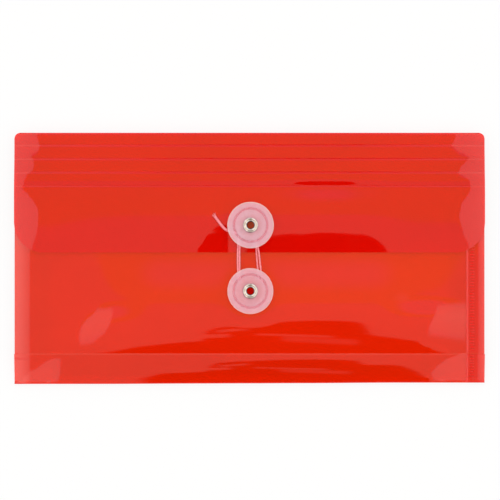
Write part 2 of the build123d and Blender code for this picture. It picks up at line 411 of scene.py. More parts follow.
@dataclass(frozen=True)
class FrostFinish(Finish):
    """Frosted moulded plastic of the discs: thinner at its ring groove, where shade is painted in a deeper
    pink, deeper in colour round the eyelet, and with a painted highlight on its rim.

    Of the colours, the ring's is painted shade of the ring groove, the core's is that of the plastic round the
    eyelet, and the rim's is a painted highlight along the rounded rim. The opacity is given face on and edge
    on, and the flow is the streaks at the core's edge.
    """

    name: str = "frosted_disc"
    pale: Colour = (1.0, 0.80, 0.93)
    deep: Colour = (1.0, 0.755, 0.88)
    grain: float = 260.0
    rough: Pair = (0.20, 0.30)
    bump: float = 0.05
    bump_depth: float = 0.2 * MM
    # Painted shade: the shadow in the ring groove, painted as a deeper pink.
    ring_shade: Colour = (0.88, 0.50, 0.62)
    core: Colour = (1.0, 0.66, 0.765)
    # Painted highlight: the bright edge of the rounded rim, painted near white.
    rim: Colour = (1.0, 0.98, 0.96)
    tint: Colour = (1.0, 0.97, 0.97)
    opacity: Pair = (0.32, 0.88)
    facing: float = 0.25
    ior: float = 1.49
    # Band of the painted ring shade.
    ring: Band = (8.25 * MM, 9.65 * MM, 0.4 * MM)
    core_edge: Pair = (4.4 * MM, 7.2 * MM)
    # Radii over which the painted rim highlight comes in.
    rim_edge: Pair = (11.75 * MM, 12.2 * MM)
    flow_scale: float = 7.0
    flow_detail: float = 4.0
    flow_contrast: Pair = (0.35, 0.65)
    flow_reach: float = 0.5 * MM

    def colour(self, board: NodeBoard, shade: NodeSocket) -> NodeSocket:
        """Colour over the disc, by the distance from its axis, with painted shade at the ring and a painted
        highlight along the rim.

        Args:
            board: The material's board.
            shade: Mottle of the plastic.

        Returns:
            The colour.
        """
        place = board.add("TexCoord").outputs["Object"]
        level = board.add("VectorMath", place, (1.0, 1.0, 0.0), operation="MULTIPLY").outputs[0]
        radius = board.add("VectorMath", level, operation="LENGTH").outputs["Value"]
        bearing = board.add("VectorMath", level, operation="NORMALIZE").outputs[0]
        flow = board.add("TexNoise", Vector=bearing, Scale=self.flow_scale, Detail=self.flow_detail)
        streak = board.ramp(flow.outputs["Fac"], self.flow_contrast, (-self.flow_reach, self.flow_reach))
        outside = board.ramp(board.math("ADD", radius, streak), self.core_edge)
        colour = board.blend(outside, self.core, board.blend(shade, self.deep, self.pale))
        # Painted shade: the ring groove painted a deeper pink.
        colour = board.blend(board.window(radius, self.ring), colour, self.ring_shade)
        # Painted highlight along the rounded rim.
        return board.blend(board.ramp(radius, self.rim_edge), colour, self.rim)

    def sockets(self) -> dict[str, float]:
        """The plastic's index of refraction."""
        return {"IOR": self.ior}

    def surface(self, board: NodeBoard, body: Node) -> NodeSocket:
        """The plastic, more opaque towards its edges.

        Args:
            board: The material's board.
            body: Shader of the plastic.

        Returns:
            The surface.
        """
        facing = board.add("LayerWeight", Blend=self.facing).outputs["Facing"]
        share = board.ramp(facing, (0.0, 1.0), self.opacity)
        return board.mixed(share, board.add("BsdfTransparent", self.tint), body)


@dataclass(frozen=True)
class MetalFinish(Finish):
    """Warm nickel plate of the eyelets and washers."""

    name: str = "warm_nickel"
    pale: Colour = (0.69, 0.62, 0.575)
    deep: Colour = (0.50, 0.43, 0.395)
    grain: float = 700.0
    rough: Pair = (0.07, 0.14)
    bump: float = 0.04

    def sockets(self) -> dict[str, float]:
        """Bare metal."""
        return {"Metallic": 1.0}


@dataclass(frozen=True)
class ThreadFinish(Finish):
    """Dyed cotton thread of the string."""

    name: str = "pink_thread"
    pale: Colour = (0.97, 0.36, 0.40)
    deep: Colour = (0.90, 0.20, 0.24)
    grain: float = 900.0
    rough: Pair = (0.62, 0.80)
    bump: float = 0.2
    sheen: float = 0.4
    sheen_roughness: float = 0.5

    def sockets(self) -> dict[str, float]:
        """The fuzz of the fibres."""
        return {"Sheen_Weight": self.sheen, "Sheen_Roughness": self.sheen_roughness}


def placed(name: str, data: Mesh | bpy.types.Curve | bpy.types.Camera) -> Object:
    """Puts data in the scene.

    Args:
        name: Object name.
        data: What it shows.

    Returns:
        The new object.
    """
    obj = bpy.data.objects.new(name, data)
    bpy.context.scene.collection.objects.link(obj)
    return obj


def finished(build: BMesh, name: str) -> Mesh:
    """Turns a bmesh into a mesh.

    Args:
        build: The bmesh, which is freed.
        name: Mesh name.

    Returns:
        The new mesh.
    """
    mesh = bpy.data.meshes.new(name)
    build.to_mesh(mesh)
    build.free()
    return mesh


def shown(obj: Object) -> Mesh:
    """A new mesh of what an object shows, its modifiers included."""
    ready = obj.evaluated_get(bpy.context.evaluated_depsgraph_get())
    return bpy.data.meshes.new_from_object(ready)


def smoothed(mesh: Mesh, angle: float = 0.6) -> None:
    """Shades a mesh smooth, apart from edges sharper than the angle."""
    mesh.shade_smooth()
    mesh.set_sharp_from_angle(angle=angle)


def settle(obj: Object, body: Body, node: str) -> None:
    """Rides a piece on its body.

    Args:
        obj: The piece.
        body: Its body.
        node: Node that it stands for.
    """
    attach(obj, body.value)
    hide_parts(node)
    LOG.info("%s rides on %s", obj.name, body.value)


def dress(node: str, material: Material, lining: Material | None = None) -> None:
    """Gives a frame node, whose shape stays, its finish.

    Args:
        node: Node name.
        material: Its finish.
        lining: Finish of its upper face, where that is another.
    """
    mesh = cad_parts[node].data
    mesh.materials.clear()
    mesh.materials.append(material)
    smoothed(mesh)
    if lining:
        mesh.materials.append(lining)
        for face in mesh.polygons:
            face.material_index = int(face.normal.z > 0.5)
    LOG.info("%s dressed", node)


def skin(build: BMesh, rings: Sequence[Line], looped: bool = False) -> list[BMFace]:
    """Makes a closed skin over rings of points.

    Args:
        build: Mesh that gets the skin.
        rings: Closed rings in order, all with as many points.
        looped: Whether the last ring joins the first, in place of two end caps.

    Returns:
        The new faces, which face outward.
    """
    rows = [[build.verts.new(point) for point in ring] for ring in rings]
    faces = [] if looped else [build.faces.new(rows[0]), build.faces.new(rows[-1])]
    for here, there in zip(rows, rows[1:] + rows[:1] if looped else rows[1:]):
        for corner in range(len(here)):
            quad = (here[corner - 1], here[corner], there[corner], there[corner - 1])
            faces.append(build.faces.new(quad))
    bmesh.ops.recalc_face_normals(build, faces=faces)
    return faces


def turned(profile: Sequence[Pair], segments: int = 96) -> Mesh:
    """Turns a closed profile round the Z axis.

    Args:
        profile: Points of radius and height, in order round the section.
        segments: Steps round the axis.

    Returns:
        The closed mesh.
    """
    turns = [2 * math.pi * step / segments for step in range(segments)]
    rings = [[(r * math.cos(turn), r * math.sin(turn), z) for r, z in profile] for turn in turns]
    build = bmesh.new()
    skin(build, rings, looped=True)
    return finished(build, "turned")


def arc(centre: Pair, radii: Pair, start: float, end: float, steps: int) -> list[Pair]:
    """Points of a round or oval arc in a profile, angles in degrees from the outward direction."""
    angles = [math.radians(start + (end - start) * step / steps) for step in range(steps + 1)]
    return [(centre[0] + radii[0] * math.cos(turn), centre[1] + radii[1] * math.sin(turn)) for turn in angles]


@dataclass
class FilmSheet:
    """A thin sheet over a plan of columns and rows, cut to its edges.

    Attributes:
        name: Piece name.
        columns: Plan places along local X.
        rows: Plan places along local Y.
        low: Lower edge at a column.
        high: Upper edge at a column.
        relief: Height of the film's middle over the plan.
        place: From the plan to the row frame.
        hole: Centre and radius of a round hole, in the row frame.
        stretch: Factor on the width, along local Y.
        merge: Points closer than this become one.
        cutter_depth: Length of the rod that cuts the hole.
        cutter_sides: Sides of that rod.
    """

    name: str
    columns: Sequence[float]
    rows: Sequence[float]
    low: Curve
    high: Curve
    relief: Relief
    place: Matrix = FLAT
    hole: Hole | None = None
    stretch: Curve = lambda y: 1.0
    merge: float = 0.002 * MM
    cutter_depth: float = 6 * MM
    cutter_sides: int = 48

    def build(self, material: Material) -> Object:
        """Makes the film.

        Args:
            material: Its finish.

        Returns:
            The closed thin sheet.
        """
        middle = self.middle()
        middle.materials.append(material)
        obj = placed(self.name, middle)
        solid = obj.modifiers.new("film", "SOLIDIFY")
        solid.thickness = FILM
        solid.offset = 0.0
        cutter = self.cutter(*self.hole) if self.hole else None
        if cutter:
            cut = obj.modifiers.new("hole", "BOOLEAN")
            cut.operation = "DIFFERENCE"
            cut.object = cutter
        mesh = shown(obj)
        obj.modifiers.clear()
        obj.data = mesh
        if cutter:
            bpy.data.objects.remove(cutter)
        smoothed(mesh)
        return obj

    def middle(self) -> Mesh:
        """Makes the film's middle surface, cut to its edges.

        Returns:
            The open mesh.
        """
        build = bmesh.new()
        grid = []
        for x in self.columns:
            places = [clamped(row, self.low(x), self.high(x)) for row in self.rows]
            spots = [Vector((x * self.stretch(y), y, self.relief(x, y))) for y in places]
            grid.append([build.verts.new(self.place @ spot) for spot in spots])
        for here, there in zip(grid, grid[1:]):
            for index in range(len(self.rows) - 1):
                build.faces.new((here[index], there[index], there[index + 1], here[index + 1]))
        bmesh.ops.remove_doubles(build, verts=build.verts, dist=self.merge)
        bmesh.ops.dissolve_degenerate(build, edges=build.edges, dist=self.merge)
        return finished(build, self.name)

    def cutter(self, centre: Vector, radius: float) -> Object:
        """Makes the rod that cuts the hole.

        Args:
            centre: Its middle.
            radius: Its radius.

        Returns:
            The rod.
        """
        build = bmesh.new()
        bmesh.ops.create_cone(
            build, cap_ends=True, segments=self.cutter_sides, radius1=radius, radius2=radius,
            depth=self.cutter_depth, matrix=Matrix.Translation(centre))
        return placed("cutter", finished(build, "cutter"))


@dataclass(frozen=True)
class SideRoll:
    """How a film's side edge rolls down: the slope grows evenly from a line inside the edge.

    Attributes:
        reach: Distance of that line from the edge, at each Y.
        kink: Slope at the line.
        slope: Slope at the edge.
    """

    reach: Knots
    kink: float
    slope: float

    def drop(self, inside: float, y: float) -> float:
        """Height lost at a distance inside the edge."""
        reach = through(self.reach, y)
        return self.kink * max(0.0, reach - inside) + bend(reach - inside, reach, self.slope - self.kink)


@dataclass
class Flap:
    """The flap with its score lines, rolled sides and drooping free edge.

    The fields that end in columns or rows say where the mesh is finer: a reach or two ends, then the step.
    """

    finish: Material
    corner: float = 16 * MM
    fold_corner: float = 3 * MM
    fold_run: float = 0.8 * MM
    fold_slope: float = 0.5
    draw_in: float = 0.0018
    draw_run: Pair = (33 * MM, 60 * MM)
    score_first: float = 6.8 * MM
    score_pitch: float = 7.3 * MM
    score_depths: tuple[float, ...] = (0.09 * MM, 0.10 * MM, 0.09 * MM, 0.05 * MM)
    score_width: float = 0.28 * MM
    sag: float = 0.12 * MM
    sag_above: float = 2.1 * MM
    sag_below: float = 6.3 * MM
    sag_share: Knots = in_mm((10, 0.5), (22, 0.8), (33, 1.35), (50, 1.35), (60, 0.75), (80, 0.4), unit=1.0)
    droop_slope: float = 0.0335
    droop_edge: float = 0.050
    droop_turn: float = 10.5 * MM
    droop_reach: float = 23 * MM
    droop_share: Knots = in_mm(
        (-110, 0.2), (-60, 0.78), (-14, 0.78), (12, 1.0), (24, 1.0), (31, 0.96), (37, 1.01), (57, 1.0),
        (91, 0.3), unit=1.0)
    tug_slope: float = 0.017
    tug_start: Knots = in_mm((4, -28), (9, -25.3), (14, -22.8), (20, -17))
    tug_deepest: float = -12 * MM
    tug_end: float = -1 * MM
    tug_fade: Pair = (36 * MM, 6 * MM)
    left: SideRoll = SideRoll(in_mm(
        (5, 10), (15, 12.7), (22, 13.3), (26.6, 13), (30.4, 11.1), (34.2, 7.9), (37.4, 4.6), (40.6, 5.2),
        (45, 7), (48, 10.4), (52, 10.8), (55.2, 9), (58, 13.2), (60.5, 13.8), (66, 12.5)), 0.026, 0.042)
    right: SideRoll = SideRoll(in_mm(
        (6.6, 9), (14, 12.2), (22.8, 14.4), (27.7, 13.3), (37.9, 7.9), (41.7, 8.4), (46, 14.6), (48.5, 13.6),
        (54.5, 8.6), (58, 15.6), (61, 18), (66, 16)), 0.024, 0.042)
    column_step: float = 2.6 * MM
    row_step: float = 1.3 * MM
    side_columns: Pair = (22 * MM, 0.8 * MM)
    edge_columns: Pair = (3 * MM, 0.3 * MM)
    tug_columns: Pair = (-31 * MM, 0.7 * MM)
    score_rows: Pair = (0.7 * MM, 0.14 * MM)
    sag_rows: Band = (-2 * MM, 4 * MM, 0.4 * MM)
    fold_rows: Pair = (3 * MM, 0.2 * MM)

    def __post_init__(self) -> None:
        """Reads the flap's place from the frame."""
        self.lowest, self.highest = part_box("flap_panel")
        self.edge = self.highest[0]
        self.level = (self.lowest[2] + self.highest[2]) / 2
        self.axis_y = self.highest[1] - HALF_FILM
        first = self.highest[1] - self.score_first
        self.scores = [first - line * self.score_pitch for line in range(len(self.score_depths))]

    def corner_cut(self, x: float, radius: float) -> float:
        """How much a round corner takes off the film at a column."""
        into = max(0.0, abs(x) - (self.edge - radius))
        return radius - math.sqrt(max(0.0, radius**2 - into**2))

    def low_edge(self, x: float) -> float:
        """Free edge with its round corners."""
        return self.lowest[1] + self.corner_cut(x, self.corner)

    def high_edge(self, x: float) -> float:
        """Folded edge with its small round corners."""
        return self.axis_y - self.corner_cut(x, self.fold_corner)

    def taper(self, y: float) -> float:
        """Factor on the flap's width, which draws in a little towards the fold."""
        return 1 - self.draw_in * ease(y, *self.draw_run)

    def droop(self, above: float) -> float:
        """Height lost above the free edge, where the slope grows quickly at first, then slowly.

        Args:
            above: Distance from the free edge.

        Returns:
            The height lost.
        """
        quick_run = self.droop_reach - self.droop_turn
        excess = self.droop_slope * self.droop_turn / quick_run - (self.droop_edge - self.droop_slope)
        quick = bend(self.droop_reach - above, quick_run, self.droop_slope)
        return quick - bend(self.droop_turn - above, self.droop_turn, excess)

    def pull(self, x: float, y: float) -> float:
        """Height lost beside the upper button, where the string draws the flap down."""
        into = max(0.0, min(x, self.tug_deepest) - through(self.tug_start, y))
        return self.tug_slope * into * ease(x, self.tug_end, self.tug_deepest) * ease(y, *self.tug_fade)

    def relief(self, x: float, y: float) -> float:
        """Height of the flap's middle.

        Args:
            x: Place along the width.
            y: Place along the depth.

        Returns:
            The level, less the rolled sides, the droop, the score lines, the sag, the fold and the pull.
        """
        roll = self.left.drop(x + self.edge, y) + self.right.drop(self.edge - x, y)
        droop = self.droop(y - self.lowest[1]) * through(self.droop_share, x)
        lines = zip(self.scores, self.score_depths)
        score = sum(bell(y - line, self.score_width) * depth for line, depth in lines)
        past = y - self.scores[-1]
        sag = self.sag * through(self.sag_share, x)
        sag *= bell(past, self.sag_above if past > 0 else self.sag_below)
        fold = bend(y - self.axis_y + self.fold_run, self.fold_run, self.fold_slope)
        return self.level - roll - droop - score - sag - fold - self.pull(x, y)

    def columns(self) -> list[float]:
        """Sets out the film's columns.

        Returns:
            Places along X, closer at the sides and beside the upper button.
        """
        fine = [x for reach, step in (self.side_columns, self.edge_columns)
                for x in span(self.edge - reach, self.edge, step)]
        drawn = span(self.tug_columns[0], self.tug_end, self.tug_columns[1])
        return merged(span(-self.edge, self.edge, self.column_step), drawn, fine, [-x for x in fine])

    def rows(self) -> list[float]:
        """Sets out the film's rows.

        Returns:
            Places along Y, closer at the score lines and the fold.
        """
        reach, step = self.score_rows
        near = [y for line in self.scores for y in span(line - reach, line + reach, step)]
        low, high, step = self.sag_rows
        sag = span(self.scores[-1] + low, self.scores[-1] + high, step)
        fold = span(self.axis_y - self.fold_rows[0], self.axis_y, self.fold_rows[1])
        return merged(span(self.lowest[1], self.axis_y, self.row_step), near, sag, fold)

    def build(self, hole: Hole) -> None:
        """Makes the flap.

        Args:
            hole: Centre and radius of the eyelet's hole.
        """
        sheet = FilmSheet(
            "flap_film", self.columns(), self.rows(), self.low_edge, self.high_edge, self.relief, hole=hole,
            stretch=self.taper)
        settle(sheet.build(self.finish), Body.FLAP, "flap_panel")


@dataclass(frozen=True)
class Slope:
    """A straight slope of the swollen front, down to one side.

    Attributes:
        foot: Place along X of its foot, at each Y.
        crest: Place along X of its crest, at each Y.
        fade: Share of the swell that is left at the side, at each Y.
        run: Places along X where the swell starts to fade and where that ends.
    """

    foot: Knots
    crest: Knots
    fade: Knots
    run: Pair

    def share(self, x: float, y: float) -> float:
        """Share of the full height, from 0 at the foot to 1 at the crest, and on beyond them."""
        foot = through(self.foot, y)
        return (x - foot) / (through(self.crest, y) - foot)

    def kept(self, x: float, y: float) -> float:
        """Share of the swell that the fade leaves."""
        return 1 - ease(x, *self.run) * (1 - through(self.fade, y))


@dataclass
class Pocket:
    """Front panel and bottom strip."""

    finish: Material
    notch_width: float = 54 * MM
    notch_depth: float = 6 * MM
    swell_slope: float = 0.0622
    swell_top: float = -26.8 * MM
    swell_fade: float = 34 * MM
    left_slope: Slope = Slope(
        in_mm((-51, -98), (-46, -93), (-43, -93.3), (-37, -91.5), (-33, -88.5), (-29, -84)),
        in_mm((-51, -90), (-46, -82), (-40, -76.5), (-34, -74), (-28, -73)),
        in_mm((-37, 1.0), (-23, 0.25), unit=1.0), (-48 * MM, -76 * MM))
    right_slope: Slope = Slope(
        in_mm((-51, 124), (-44, 117), (0, 117)),
        in_mm((-51, 112), (-48, 99), (-45, 93), (-40, 95), (-29, 100)),
        in_mm((-33, 1.0), (-21, 0.25), unit=1.0), (66 * MM, 96 * MM))
    button_dip: float = 9 * MM
    bow_slope: float = 0.03
    strip_slope: float = 0.026
    strip_left: Knots = in_mm((-16.5, -103), (-10, -101.5), (0, -101))
    strip_left_width: Knots = in_mm((-14, 20), (-11, 17.8), (-7.5, 12), (-4.2, 8.6), (-1.5, 0))
    strip_right: Knots = in_mm((-14, 98.5), (-11, 97), (-7.5, 100), (-4.2, 104), (0, 113))
    strip_right_end: float = 117 * MM
    strip_roll: float = 0.9
    strip_stretch: float = 1.002
    under_run: Pair = (0.35, 0.75)
    crease_inset: float = 0.2 * MM
    crease_run: float = 0.9 * MM
    crease_slope: float = 0.05
    fold_run: float = 0.6 * MM
    fold_slope: float = 0.2
    fold_reach: float = 1.6 * MM
    end_cut: float = 0.35 * MM
    end_run: Pair = (3 * MM, 1 * MM)
    slant: Knots = in_mm((-81, -0.33), (-27, -0.09), (0, 0), (27, 0.10), (81, 0.40))
    left: SideRoll = SideRoll(in_mm((-51, 8.2), (64, 8.4)), 0.027, 0.098)
    right: SideRoll = SideRoll(in_mm((-51, 3.6), (64, 3.6)), 0.010, 0.072)
    column_step: float = 1.8 * MM
    side_columns: Pair = (12 * MM, 0.6 * MM)
    row_step: float = 1.4 * MM
    mouth_rows: Pair = (7 * MM, 0.7 * MM)
    strip_row_step: float = 0.8 * MM
    fold_rows: Pair = (3 * MM, 0.1 * MM)
    crease_rows: Pair = (1 * MM, 0.1 * MM)

    def __post_init__(self) -> None:
        """Reads the pocket's place from the frame."""
        self.lowest, self.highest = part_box("front_panel")
        self.level = (self.lowest[2] + self.highest[2]) / 2
        self.edge = self.highest[0]
        self.crease_y = self.lowest[1] - self.crease_inset
        low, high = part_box("body_button")
        self.button = Vector(((low[0] + high[0]) / 2, (low[1] + high[1]) / 2))
        low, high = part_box("bottom_gusset_front_leaf")
        crease = Vector((0, self.crease_y, self.level))
        fold = Vector((0, low[1] + HALF_FILM, low[2] + HALF_FILM))
        self.leaf = (fold - crease).length
        self.leaf_place = self.leaf_frame(crease, fold)
        self.under_place = self.leaf_frame(Vector((0, self.crease_y, HALF_FILM)), fold)

    def leaf_frame(self, crease: Vector, fold: Vector) -> Matrix:
        """Frame of a bottom leaf, with local Y up the leaf.

        Args:
            crease: Its origin, on the crease.
            fold: Point below it, on the fold.

        Returns:
            From the leaf's plan to the row frame.
        """
        up = (crease - fold).normalized()
        across = Vector((1, 0, 0))
        return Matrix.Translation(crease) @ Matrix((across, up, across.cross(up))).transposed().to_4x4()

    def mouth(self, x: float) -> float:
        """Mouth edge with the thumb notch.

        Args:
            x: Place along the width.

        Returns:
            The edge's Y.
        """
        radius = (self.notch_width**2 / 4 + self.notch_depth**2) / (2 * self.notch_depth)
        if abs(x) >= self.notch_width / 2:
            return self.highest[1]
        return self.highest[1] - self.notch_depth + radius - math.sqrt(radius**2 - x * x)

    def roll(self, x: float, y: float) -> float:
        """Height lost at the two sides."""
        return self.left.drop(x + self.edge, y) + self.right.drop(self.edge - x, y)

    def breadth(self, x: float, y: float) -> float:
        """Share of the swell across the front, which is level in the middle and slopes down to the sides."""
        left, right = self.left_slope, self.right_slope
        return clamped(min(left.share(x, y), right.share(x, y))) * left.kept(x, y) * right.kept(x, y)

    def relief(self, x: float, y: float) -> float:
        """Height of the front's middle.

        Args:
            x: Place along the width.
            y: Place along the depth.

        Returns:
            The level with the gentle pillow of the empty pocket, less the rolled sides.
        """
        reach = self.swell_top - self.crease_y
        run = clamped((self.swell_top - y) / reach)
        rise = self.swell_slope * reach / 2 * (1 - run * run)
        rise *= ease(y, self.swell_top + self.swell_fade, self.swell_top)
        near = math.hypot(x - self.button.x, y - self.button.y)
        swell = rise * self.breadth(x, y) * (1 - bell(near, self.button_dip))
        return self.level + swell - self.roll(x, y)

    def fold_end(self, x: float) -> float:
        """Lower edge of both bottom leaves, which slants a little."""
        return through(self.slant, x) - self.leaf

    def crease_end(self, x: float) -> float:
        """Upper edge of the bottom's front leaf, cut back at its ends to clear the side pleats."""
        return -self.end_cut * ease(abs(x), self.edge - self.end_run[0], self.edge - self.end_run[1])

    def dip(self, x: float, y: float) -> float:
        """Height lost at the ends of the bottom leaves, none at the fold that joins them.

        Args:
            x: Place along the strip.
            y: Place down the strip, 0 at the crease.

        Returns:
            The height lost.
        """
        left = min(through(self.strip_left_width, y), max(0.0, through(self.strip_left, y) - x))
        right = max(0.0, min(x, self.strip_right_end) - through(self.strip_right, y))
        full = self.strip_slope * (left + right) + self.strip_roll * self.roll(x, 0.0)
        return full * clamped((y - self.fold_end(x)) / self.fold_reach)

    def under(self, x: float, y: float) -> float:
        """Height of the bottom's back leaf over its plane: it dips with the front leaf near the fold."""
        return -self.dip(x, y) * ease(-y / self.leaf, *self.under_run)

    def bow(self, x: float, y: float) -> float:
        """Height of the bottom's front leaf over its plane.

        Args:
            x: Place along the strip.
            y: Place down the strip, 0 at the crease.

        Returns:
            A slight bow, the dipped ends, and the rounding at the crease and at the bottom fold.
        """
        along = clamped(-y / self.leaf)
        turn = bend(y + self.crease_run, self.crease_run, self.crease_slope)
        turn += bend(self.fold_run + self.fold_end(x) - y, self.fold_run, self.fold_slope)
        return self.bow_slope * self.leaf * along * (1 - along) - self.dip(x, y) - turn

    def columns(self) -> list[float]:
        """Columns of the films, closer at the sides."""
        fine = span(self.edge - self.side_columns[0], self.edge, self.side_columns[1])
        return merged(span(-self.edge, self.edge, self.column_step), fine, [-x for x in fine])

    def build_front(self, hole: Hole) -> None:
        """Makes the front panel.

        Args:
            hole: Centre and radius of the eyelet's hole.
        """
        top = self.highest[1]
        mouth = span(top - self.mouth_rows[0], top, self.mouth_rows[1])
        rows = merged(span(self.crease_y, top, self.row_step), mouth)
        sheet = FilmSheet(
            "front_film", self.columns(), rows, lambda x: self.crease_y, self.mouth, self.relief, hole=hole)
        settle(sheet.build(self.finish), Body.FRONT, "front_panel")

    def build_bottom(self) -> None:
        """Makes both leaves of the bottom strip."""
        start = self.slant[0][1] - self.leaf
        fold = span(start, start + self.fold_rows[0], self.fold_rows[1])
        crease = span(-self.crease_rows[0], 0.0, self.crease_rows[1])
        rows = merged(span(start, 0.0, self.strip_row_step), fold, crease)
        for name, high, relief, place, body, node in (
            ("bottom_film", self.crease_end, self.bow, self.leaf_place, Body.BOTTOM_FRONT,
             "bottom_gusset_front_leaf"),
            ("bottom_back_film", lambda x: 0.0, self.under, self.under_place, Body.BOTTOM_BACK,
             "bottom_gusset_back_leaf"),
        ):
            sheet = FilmSheet(
                name, self.columns(), rows, self.fold_end, high, relief, place,
                stretch=lambda y: self.strip_stretch)
            settle(sheet.build(self.finish), body, node)


@dataclass
class Seam:
    """The welded side seam: a tab on the front and its foot on the bottom strip, with rows of weld ticks."""

    pocket: Pocket
    finish: Material
    weld: Material
    width: float = 9.55 * MM
    inset: float = 0.2 * MM
    foot_inset: float = 0.4 * MM
    bead: float = 0.10 * MM
    bead_width: float = 0.35 * MM
    bead_inset: float = 0.2 * MM
    tick_length: float = 3.0 * MM
    tick_width: float = 0.75 * MM
    tick_rise: float = 0.12 * MM
    tick_root: float = 0.05 * MM
    tick_tip: float = 0.2
    tick_pitch: float = 1.5 * MM
    tick_from_edge: float = 6.75 * MM
    tick_ends: Pair = (1.5 * MM, 1.5 * MM)
    foot_tick_ends: Pair = (2.4 * MM, 0.9 * MM)
    column_step: float = 0.6 * MM
    bead_columns: Pair = (1.2 * MM, 0.12 * MM)
    row_step: float = 1.6 * MM
    foot_row_step: float = 0.8 * MM

    def __post_init__(self) -> None:
        """Sets the tabs' outer and inner edges."""
        self.outer = self.pocket.edge - self.inset
        self.inner = self.outer - self.width

    def lift(self, x: float) -> float:
        """Height of a tab's middle over the film's, with the bead along its inner edge."""
        return FILM + self.bead * bell(x - self.inner - self.bead_inset, self.bead_width)

    def columns(self) -> list[float]:
        """Columns of a tab, closer at the bead."""
        bead = span(self.inner, self.inner + self.bead_columns[0], self.bead_columns[1])
        return merged(span(self.inner, self.outer, self.column_step), bead)

    def add_tick(self, build: BMesh, centre: Vector, place: Matrix) -> None:
        """Adds one tick: a low loaf across the seam.

        Args:
            build: Mesh that gets the loaf.
            centre: Middle of its foot.
            place: From the tab's plan to the row frame.
        """
        rings = []
        for share in span(-1.0, 1.0, 1 / 3):
            swell = max(self.tick_tip, math.sqrt(1 - share**4))
            radii = (self.tick_width / 2 * swell, (self.tick_rise + self.tick_root) * swell)
            loop = arc((0.0, -self.tick_root), radii, 0, 180, 5)
            across = self.tick_length / 2 * share
            rings.append([place @ (centre + Vector((across, side, rise))) for side, rise in loop])
        for face in skin(build, rings):
            face.material_index = 1
            face.smooth = True

    def add_ticks(self, tab: Object, places: Sequence[float], face: Relief, place: Matrix) -> None:
        """Adds the row of weld ticks to a tab.

        Args:
            tab: The tab.
            places: Where the ticks lie along it.
            face: Height of the tab's middle.
            place: From the tab's plan to the row frame.
        """
        middle = self.pocket.edge - self.tick_from_edge
        build = bmesh.new()
        build.from_mesh(tab.data)
        for y in places:
            self.add_tick(build, Vector((middle, y, face(middle, y) + HALF_FILM)), place)
        build.to_mesh(tab.data)
        build.free()
        tab.data.materials.append(self.weld)

    def build(self) -> None:
        """Makes both tabs."""
        pocket = self.pocket
        low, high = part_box("side_weld_tab")
        foot = pocket.slant[-1][1] - pocket.leaf + self.foot_inset
        for name, start, end, step, ticks, under, place, body, node in (
            ("seam_film", low[1], high[1], self.row_step, self.tick_ends, pocket.relief, FLAT, Body.FRONT,
             "side_weld_tab"),
            ("seam_foot_film", foot, -self.foot_inset, self.foot_row_step, self.foot_tick_ends, pocket.bow,
             pocket.leaf_place, Body.BOTTOM_FRONT, "side_weld_tab_foot"),
        ):
            def face(x: float, y: float) -> float:
                """Height of the tab's middle."""
                return under(x, y) + self.lift(x)

            rows = span(start, end, step)
            tab = FilmSheet(
                name, self.columns(), rows, lambda x: start, lambda x: end, face, place).build(self.finish)
            self.add_ticks(tab, span(start + ticks[0], end - ticks[1], self.tick_pitch), face, place)
            settle(tab, body, node)


